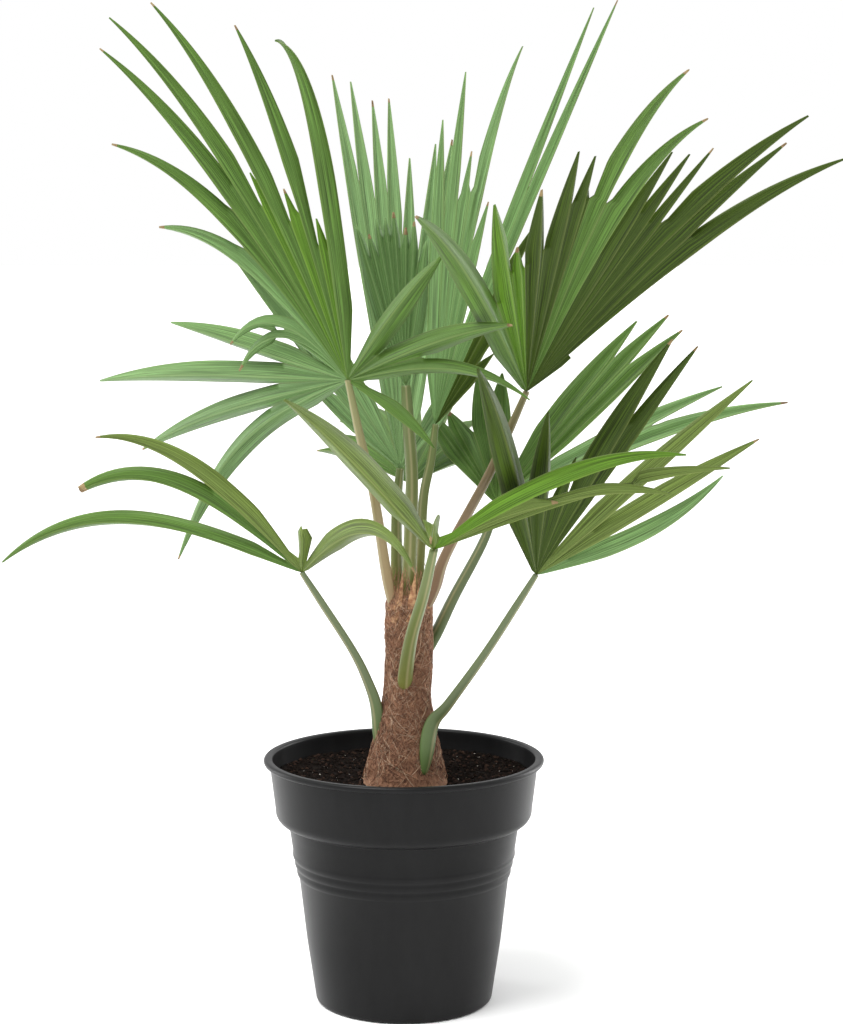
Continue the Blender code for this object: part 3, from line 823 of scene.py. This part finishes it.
def build_lumps():
    rng = random.Random(11)
    for lumps in SOIL_LUMPS:
        mesh = lump_mesh(lumps, rng)
        finish = soil_material(lumps.name + "_finish", lumps.dark, lumps.light)
        piece = add_piece(lumps.name, mesh, finish)
        mesh.shade_flat()


# Trunk

def trunk_axis(height):
    """How far the trunk's middle has leant to the right at a height."""
    share = min(max((height - TRUNK_LEAN_Z) / TRUNK_LEAN_HEIGHT, 0.0), 1.0)
    return TRUNK_LEAN * share * share * (3 - 2 * share)


def trunk_radius(height):
    flare = max((TRUNK_FLARE_Z - height) / TRUNK_FLARE_HEIGHT, 0.0) ** TRUNK_FLARE_POWER
    shoulder = max((height - TRUNK_TOP_Z) / TRUNK_SHOULDER + 1.0, 0.0)
    return TRUNK_RADIUS + TRUNK_FLARE * flare - TRUNK_SHOULDER_DROP * shoulder ** 2


def trunk_place(angle, height, lift):
    """A place on the trunk's skin, lifted off it by some millimetres."""
    lobe = 1.0 + TRUNK_LOBES * cos(TRUNK_LOBE_COUNT * angle + TRUNK_LOBE_TWIST * height)
    radius = trunk_radius(height) * lobe + lift
    return Vector((trunk_axis(height) + radius * cos(angle), radius * sin(angle), height))


def bark_relief(angle, height):
    """Matted sheath layers: broad folds, leaf-base ridges and fine fibre."""
    swells = []
    for layer in BARK_LAYERS:
        across = cos(angle) * layer.frequency
        deep = sin(angle) * layer.frequency
        climb = height / layer.span + layer.twist * angle
        swells.append(layer.height * noise.noise(Vector((across, deep, climb))))
    return sum(swells) - BARK_SUNK


def build_trunk():
    bottom = SOIL_Z - TRUNK_SUNK
    places = []
    for row in range(TRUNK_ROWS + 1):
        height = bottom + (TRUNK_TOP_Z - bottom) * row / TRUNK_ROWS
        for side in range(TRUNK_SIDES):
            angle = TURN * side / TRUNK_SIDES
            places.append(trunk_place(angle, height, bark_relief(angle, height)))
    crown = len(places)
    places.append((trunk_axis(TRUNK_TOP_Z), 0.0, TRUNK_TOP_Z + TRUNK_CROWN))
    faces = ring_faces(0, TRUNK_ROWS, TRUNK_SIDES)
    faces.append(tuple(reversed(range(TRUNK_SIDES))))
    faces += tip_faces(crown, crown - TRUNK_SIDES, TRUNK_SIDES)
    piece = add_piece("trunk_bark", mesh_from("trunk_bark", places, faces), bark_material())
    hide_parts("trunk")


def add_strand(places, faces, path, radius):
    """Add a thin tapering fibre along a path to a growing list of places and faces."""
    start = len(places)
    last = len(path) - 1
    for index, centre in enumerate(path):
        ahead = path[min(index + 1, last)] - path[max(index - 1, 0)]
        ahead.normalize()
        across = ahead.cross(STRAND_REFERENCE).normalized()
        over = ahead.cross(across)
        size = radius * (1.0 - STRAND_TAPER * index / last)
        for side in range(STRAND_SIDES):
            angle = TURN * side / STRAND_SIDES
            places.append(centre + across * size * cos(angle) + over * size * sin(angle))
    faces += tube_faces(start, last, STRAND_SIDES)


def strand_path(rng, height, angle, strands):
    """A fibre's way over the bark, at the slant of the woven sheaths."""
    slant = rng.choice((-1, 1)) * radians(rng.gauss(STRAND_SLANT, STRAND_SLANT_SPREAD))
    length = rng.uniform(strands.shortest, strands.longest)
    lift = rng.uniform(*STRAND_LIFTS)
    curl = rng.uniform(-STRAND_CURL, STRAND_CURL)
    path = []
    for step in range(STRAND_STEPS + 1):
        share = step / STRAND_STEPS
        turn = slant + curl * share
        reached = height + length * share * cos(turn)
        if reached > TRUNK_TOP_Z + STRAND_OVERRUN:
            break
        swing = angle + length * share * sin(turn) / trunk_radius(height)
        above = lift + sin(pi * share) * rng.uniform(*STRAND_ARCHES)
        path.append(trunk_place(swing, reached, above + bark_relief(swing, reached)))
    return path


def build_strands():
    rng = random.Random(5)
    for strands in TRUNK_STRANDS:
        places = []
        faces = []
        for _ in range(strands.count):
            height = rng.uniform(SOIL_Z + STRAND_MARGIN, TRUNK_TOP_Z - STRAND_MARGIN)
            angle = rng.uniform(0, TURN)
            path = strand_path(rng, height, angle, strands)
            if len(path) > 2:
                add_strand(places, faces, path, strands.radius * rng.uniform(*STRAND_SIZES))
        finish = strand_material(strands.name + "_finish", strands.dark, strands.light)
        piece = add_piece(strands.name, mesh_from(strands.name, places, faces), finish)


def build_top_fibres():
    """Ragged fibre that stands up round the feet of the top stalks."""
    rng = random.Random(21)
    lowest, highest = (TRUNK_TOP_Z - drop for drop in TUFT_START)
    skin = trunk_radius(TRUNK_TOP_Z - TRUNK_SHOULDER)
    places = []
    faces = []
    for _ in range(TUFT_COUNT):
        angle = rng.uniform(0, TURN)
        height = rng.uniform(lowest, highest)
        length = rng.uniform(*TUFT_LENGTHS)
        inward = rng.uniform(0.0, TUFT_INWARD)
        swing = rng.uniform(-TUFT_SWING, TUFT_SWING)
        path = []
        for step in range(STRAND_STEPS + 1):
            share = step / STRAND_STEPS
            spread = TUFT_SPREAD * share * rng.random()
            reach = skin * (1 - inward * share) + TUFT_LIFT + spread
            turn = angle + swing * share
            path.append(Vector((trunk_axis(height) + reach * cos(turn), reach * sin(turn),
                                height + length * share)))
        add_strand(places, faces, path, rng.uniform(*TUFT_RADII))
    finish = strand_material("top_fibre_finish", TUFT_DARK, TUFT_LIGHT)
    piece = add_piece("trunk_top_fibres", mesh_from("trunk_top_fibres", places, faces), finish)


def flap_places(rng, angle, base, length, half_angle):
    """Three places a row, up a narrowing flap that curls off the trunk."""
    places = []
    for row in range(FLAP_ROWS + 1):
        share = row / FLAP_ROWS
        lift = FLAP_LIFT + FLAP_CURL * share * share * rng.uniform(*FLAP_UNEVEN)
        half = half_angle * (1.0 - share ** FLAP_TAPER_POWER) + FLAP_TIP_HALF_ANGLE
        height = base + length * share
        skin_height = min(height, TRUNK_TOP_Z - FLAP_SKIN_DROP)
        for side in (-1, 0, 1):
            turn = angle + side * half + FLAP_SWING * share
            skin = trunk_place(turn, skin_height, lift - FLAP_LEAN_IN * share)
            ridge = 0.0 if side else FLAP_RIDGE * share
            places.append(Vector((skin.x, skin.y, height + ridge)))
    return places


def build_sheath_flaps():
    """Torn papery sheath ends that stand round the feet of the top stalks."""
    rng = random.Random(33)
    lowest, highest = (TRUNK_TOP_Z - drop for drop in FLAP_START)
    places = []
    faces = []
    for _ in range(FLAP_COUNT):
        angle = rng.uniform(0, TURN)
        base = rng.uniform(lowest, highest)
        length = rng.uniform(*FLAP_LENGTHS)
        half_angle = rng.uniform(*FLAP_HALF_ANGLES)
        start = len(places)
        places += flap_places(rng, angle, base, length, half_angle)
        for row in range(FLAP_ROWS):
            low = start + 3 * row
            high = low + 3
            for side in range(2):
                faces.append((low + side, low + side + 1, high + side + 1, high + side))
    finish = strand_material("papery_sheath", SHEATH_DARK, SHEATH_LIGHT)
    piece = add_piece("trunk_sheath_flaps", mesh_from("trunk_sheath_flaps", places, faces), finish)
    add_thickness(piece, FLAP_THICKNESS)


# Stalks

def spline_point(points, share):
    """A place on the smooth curve through every point (Catmull-Rom)."""
    span = share * (len(points) - 1)
    index = min(int(span), len(points) - 2)
    t = span - index
    start, end = points[index], points[index + 1]
    before = points[index - 1] if index > 0 else start * 2 - end
    after = points[index + 2] if index + 2 < len(points) else end * 2 - start
    return 0.5 * ((2 * start) + (end - before) * t
                  + (2 * before - 5 * start + 4 * end - after) * t * t
                  + (3 * start - before - 3 * end + after) * t * t * t)


def stalk_section(across, over):
    """Width and height factors of a section: a shallow channel between raised margins."""
    width = STALK_WIDTH * (1.0 + STALK_MARGIN * across ** STALK_MARGIN_POWER)
    if over < 0:
        return width, STALK_BACK
    return width, STALK_FACE - STALK_CHANNEL * over * (1 - across * across)


def stalk_rings(frond):
    """The places of a stalk's sections, and their UV marks."""
    centres = [Vector(place[:3]) for place in frond.stalk] + [Vector(frond.hub)]
    sizes = [place[3] for place in frond.stalk] + [frond.stalk[-1][3] * STALK_HUB_SHARE]
    plane = blade_plane(frond.heading, frond.rise, frond.roll)
    places = []
    marks = []
    for row in range(STALK_ROWS + 1):
        share = row / STALK_ROWS
        centre = spline_point(centres, share)
        ahead = (spline_point(centres, min(share + STALK_LOOK, 1.0))
                 - spline_point(centres, max(share - STALK_LOOK, 0.0))).normalized()
        outward = (plane.normal - ahead * plane.normal.dot(ahead)).normalized()
        sideways = outward.cross(ahead)
        spread = min(share / FOOT_SHARE, 1.0)
        foot = FOOT_THINNESS + (1.0 - FOOT_THINNESS) * spread * (2.0 - spread)
        radius = spline_point(sizes, share) * foot
        for side in range(STALK_SIDES):
            angle = TURN * side / STALK_SIDES
            across = cos(angle)
            over = sin(angle)
            width, height = stalk_section(across, over)
            places.append(centre + sideways * radius * across * width + outward * radius * over * height)
            marks.append((side / STALK_SIDES, share))
    return places, marks


def build_stalk(frond):
    places, marks = stalk_rings(frond)
    name = "leaf_stalk_" + frond.name
    mesh = mesh_from(name, places, tube_faces(0, STALK_ROWS, STALK_SIDES))
    layer = mesh.uv_layers.new(name="UVMap")
    for loop in mesh.loops:
        layer.data[loop.index].uv = marks[loop.vertex_index]
    piece = add_piece(name, mesh, STALK_MATERIALS[frond.stalk_tint])
    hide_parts("stalk_" + frond.name)


# Fan blades

def blade_plane(heading, rise, roll):
    """The plane a fan opens in: its middle leaflet's way, its side and its normal."""
    turn, lift, twist = (radians(angle) for angle in (heading, rise, roll))
    middle = Vector((cos(lift) * cos(turn), cos(lift) * sin(turn), sin(lift)))
    level = Vector((-sin(turn), cos(turn), 0.0))
    side = level * cos(twist) + middle.cross(level) * sin(twist)
    return Plane(middle, side, middle.cross(side))


class Rib:
    """The middle line of one leaflet, walked out from the hub as it droops."""

    def __init__(self, hub, plane, leaflet):
        angle = radians(leaflet.angle)
        self.hub = Vector(hub)
        self.plane = plane
        self.leaflet = leaflet
        self.start = plane.middle * cos(angle) + plane.side * sin(angle)

    def heading_at(self, along):
        share = min(along / self.leaflet.length, 1.0)
        return (self.start + Vector((0.0, 0.0, -self.leaflet.droop * share * share))).normalized()

    def place_at(self, along):
        steps = max(1, ceil(along / WALK_STEP))
        place = self.hub.copy()
        for step in range(steps):
            place += self.heading_at(along * (step + 0.5) / steps) * (along / steps)
        return place

    def upward_at(self, along):
        heading = self.heading_at(along)
        normal = self.plane.normal
        return (normal - heading * normal.dot(heading)).normalized()

    def half_width_at(self, along, blade_width):
        widest = 0.5 * blade_width * self.leaflet.width
        share = max((along / self.leaflet.length - TAPER_START) / (1.0 - TAPER_START), 0.0)
        taper = 1.0 - (1.0 - self.leaflet.tip) * share ** TAPER_POWER
        return min(widest * taper, BASE_HALF_WIDTH + WIDENING * along)

    def stations(self):
        """Distances of the sections: even rings from the hub, and the tip."""
        count = int((self.leaflet.length - 0.5 * RING_STEP) / RING_STEP)
        return [RING_STEP * (ring + 1) for ring in range(count)] + [self.leaflet.length]


def joined_rings(left, right, width):
    """How many rings two neighbours share a crest for, before they part."""
    reach = JOINED_SHARE * min(left.leaflet.length, right.leaflet.length)
    count = FEWEST_JOINED
    while RING_STEP * (count + 1) < reach:
        along = RING_STEP * (count + 1)
        apart = (left.place_at(along) - right.place_at(along)).length
        if apart > left.half_width_at(along, width) + right.half_width_at(along, width):
            break
        count += 1
    return count


def free_half_width(rib, neighbour, along, width):
    """The half width beside a neighbour, easing out again past the neighbour's tip."""
    half = rib.half_width_at(along, width)
    if neighbour:
        beside = min(along, neighbour.leaflet.length)
        apart = (rib.place_at(beside) - neighbour.place_at(beside)).length
        half = min(half, 0.5 * apart - PARTED + EASING * (along - beside))
    return max(half, THINNEST)


def crest_place(left, right, along):
    near = left.place_at(along)
    far = right.place_at(along)
    half = 0.5 * (near - far).length
    upward = (left.upward_at(along) + right.upward_at(along)).normalized()
    return (near + far) * 0.5 + upward * half * PLEAT_SLOPE


def edge_place(rib, neighbour, along, width, direction):
    half = free_half_width(rib, neighbour, along, width)
    upward = rib.upward_at(along)
    sideways = upward.cross(rib.heading_at(along)) * direction
    return rib.place_at(along) + sideways * half + upward * half * PLEAT_SLOPE


class BladeBuilder:
    """Grows one fan's open pleated surface, with its marks for the veins and its tints."""

    def __init__(self, frond):
        self.frond = frond
        plane = blade_plane(frond.heading, frond.rise, frond.roll)
        in_order = sorted(frond.leaflets, key=lambda leaflet: leaflet.angle)
        self.ribs = [Rib(frond.hub, plane, leaflet) for leaflet in in_order]
        self.shape = bmesh.new()
        self.marks = self.shape.loops.layers.uv.new("UVMap")
        self.hub = self.vertex(Vector(frond.hub))
        self.crests = [self.crest(left, right) for left, right in zip(self.ribs, self.ribs[1:])]
        self.tints = sorted({leaflet.tint for leaflet in frond.leaflets})

    def vertex(self, place):
        return self.shape.verts.new(place * MM)

    def crest(self, left, right):
        """The vertices that two neighbours share while they are joined."""
        rings = joined_rings(left, right, self.frond.width)
        distances = [RING_STEP * (ring + 1) for ring in range(rings)]
        return [self.vertex(crest_place(left, right, along)) for along in distances]

    def add_face(self, vertices, marks, slot):
        face = self.shape.faces.new(vertices)
        face.material_index = slot
        face.smooth = True
        for loop, mark in zip(face.loops, marks):
            loop[self.marks].uv = mark

    def edge(self, crest, ring, rib, neighbour, along, direction):
        """A shared crest vertex while the neighbours are joined, and an own edge after that."""
        if ring < len(crest):
            return crest[ring]
        return self.vertex(edge_place(rib, neighbour, along, self.frond.width, direction))

    def sections(self, index):
        """A leaflet's sections, each its distance and five vertices from edge to edge."""
        rib = self.ribs[index]
        before = self.ribs[index - 1] if index > 0 else None
        after = self.ribs[index + 1] if index + 1 < len(self.ribs) else None
        low_crest = self.crests[index - 1] if before else []
        high_crest = self.crests[index] if after else []
        sections = []
        for ring, along in enumerate(rib.stations()):
            low = self.edge(low_crest, ring, rib, before, along, -1)
            high = self.edge(high_crest, ring, rib, after, along, 1)
            half = 0.5 * (low.co - high.co).length / MM
            upward = rib.upward_at(along)
            fold = rib.place_at(along) - upward * half * PLEAT_SLOPE
            belly = upward * half * PLEAT_BELLY
            low_middle = self.vertex((low.co / MM + fold) * 0.5 + belly)
            high_middle = self.vertex((high.co / MM + fold) * 0.5 + belly)
            sections.append((along, (low, low_middle, self.vertex(fold), high_middle, high)))
        return sections

    def add_leaflet(self, index):
        leaflet = self.ribs[index].leaflet
        green = self.tints.index(leaflet.tint)
        dry = len(self.tints)
        sections = self.sections(index)
        shift = MARK_SHIFT * index
        first_along, first = sections[0]
        first_mark = first_along / MARK_SPAN + shift
        for strip, (left, right) in enumerate(STRIPS):
            corners = (self.hub, first[strip], first[strip + 1])
            self.add_face(corners, ((0.5, shift), (left, first_mark), (right, first_mark)), green)
        for (near_along, near), (far_along, far) in zip(sections, sections[1:]):
            slot = dry if near_along > leaflet.length - DRY_TIP_LENGTH else green
            near_mark = near_along / MARK_SPAN + shift
            far_mark = far_along / MARK_SPAN + shift
            for strip, (left, right) in enumerate(STRIPS):
                corners = (near[strip], far[strip], far[strip + 1], near[strip + 1])
                marks = ((left, near_mark), (left, far_mark), (right, far_mark), (right, near_mark))
                self.add_face(corners, marks, slot)

    def finish(self):
        for index in range(len(self.ribs)):
            self.add_leaflet(index)
        name = "leaf_" + self.frond.name
        mesh = bpy.data.meshes.new(name)
        self.shape.to_mesh(mesh)
        self.shape.free()
        materials = [LEAF_MATERIALS[tint] for tint in self.tints] + [DRY_TIP]
        piece = add_piece(name, mesh, *materials)
        add_thickness(piece, BLADE_THICKNESS)
        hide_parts("fan_" + self.frond.name)


# Studio

def build_floor():
    mesh = bpy.data.meshes.new("floor")
    corners = [(-1, -1), (1, -1), (1, 1), (-1, 1)]
    mesh.from_pydata([(x * FLOOR_REACH, y * FLOOR_REACH, 0) for x, y in corners], [], [(0, 1, 2, 3)])
    mesh.materials.append(new_material("pale_floor", FLOOR_COLOUR, 0.7)[0])
    floor = bpy.data.objects.new("floor", mesh)
    bpy.context.scene.collection.objects.link(floor)


def add_lamp(name, light, direction):
    lamp = bpy.data.objects.new(name, light)
    lamp.rotation_euler = Vector(direction).to_track_quat("-Z", "Y").to_euler()
    bpy.context.scene.collection.objects.link(lamp)
    return lamp


def add_panel(name, place, power):
    """A tall soft panel that turns towards the pot."""
    light = bpy.data.lights.new(name, "AREA")
    light.shape = "RECTANGLE"
    light.size, light.size_y = PANEL_SIZE
    light.energy = power
    add_lamp(name, light, Vector(PANEL_TARGET) - Vector(place)).location = place


def build_lights():
    """White room light, a high soft window at the left, and two panels that edge the pot."""
    world = bpy.data.worlds.new("studio")
    world.use_nodes = True
    background = world.node_tree.nodes["Background"]
    background.inputs["Color"].default_value = (1.0, 1.0, 1.0, 1.0)
    background.inputs["Strength"].default_value = ROOM_LIGHT
    bpy.context.scene.world = world
    window = bpy.data.lights.new("high_window", "SUN")
    window.energy = WINDOW_LIGHT
    window.angle = radians(WINDOW_SPREAD)
    add_lamp("high_window", window, WINDOW_DIRECTION)
    add_panel("left_panel", LEFT_PANEL, LEFT_PANEL_POWER)
    add_panel("right_panel", RIGHT_PANEL, RIGHT_PANEL_POWER)


def build_camera():
    data = bpy.data.cameras.new("camera")
    data.sensor_width = SENSOR
    data.lens = FOCAL_PIXELS * SENSOR / IMAGE_HEIGHT
    camera = bpy.data.objects.new("camera", data)
    camera.location = vector(CAMERA_PLACE)
    camera.rotation_euler = (radians(90 - CAMERA_PITCH), 0.0, 0.0)
    bpy.context.scene.collection.objects.link(camera)
    bpy.context.scene.camera = camera


LEAF_MATERIALS = {tint: leaf_material("leaf_" + tint, colour) for tint, colour in LEAF_TINTS.items()}
STALK_MATERIALS = {tint: stalk_material("stalk_" + tint, *colours) for tint, colours in STALK_TINTS.items()}
DRY_TIP = speckled_material("dry_leaf_tip", DRY_TIP_BASE, 0.8, TIP_GRAIN, DRY_TIP_DARK, DRY_TIP_LIGHT)

build_pot()
build_soil()
build_lumps()
build_trunk()
build_strands()
build_top_fibres()
build_sheath_flaps()
for frond in FRONDS:
    build_stalk(frond)
    BladeBuilder(frond).finish()
build_floor()
build_lights()
build_camera()
bpy.context.scene.view_settings.view_transform = "Standard"
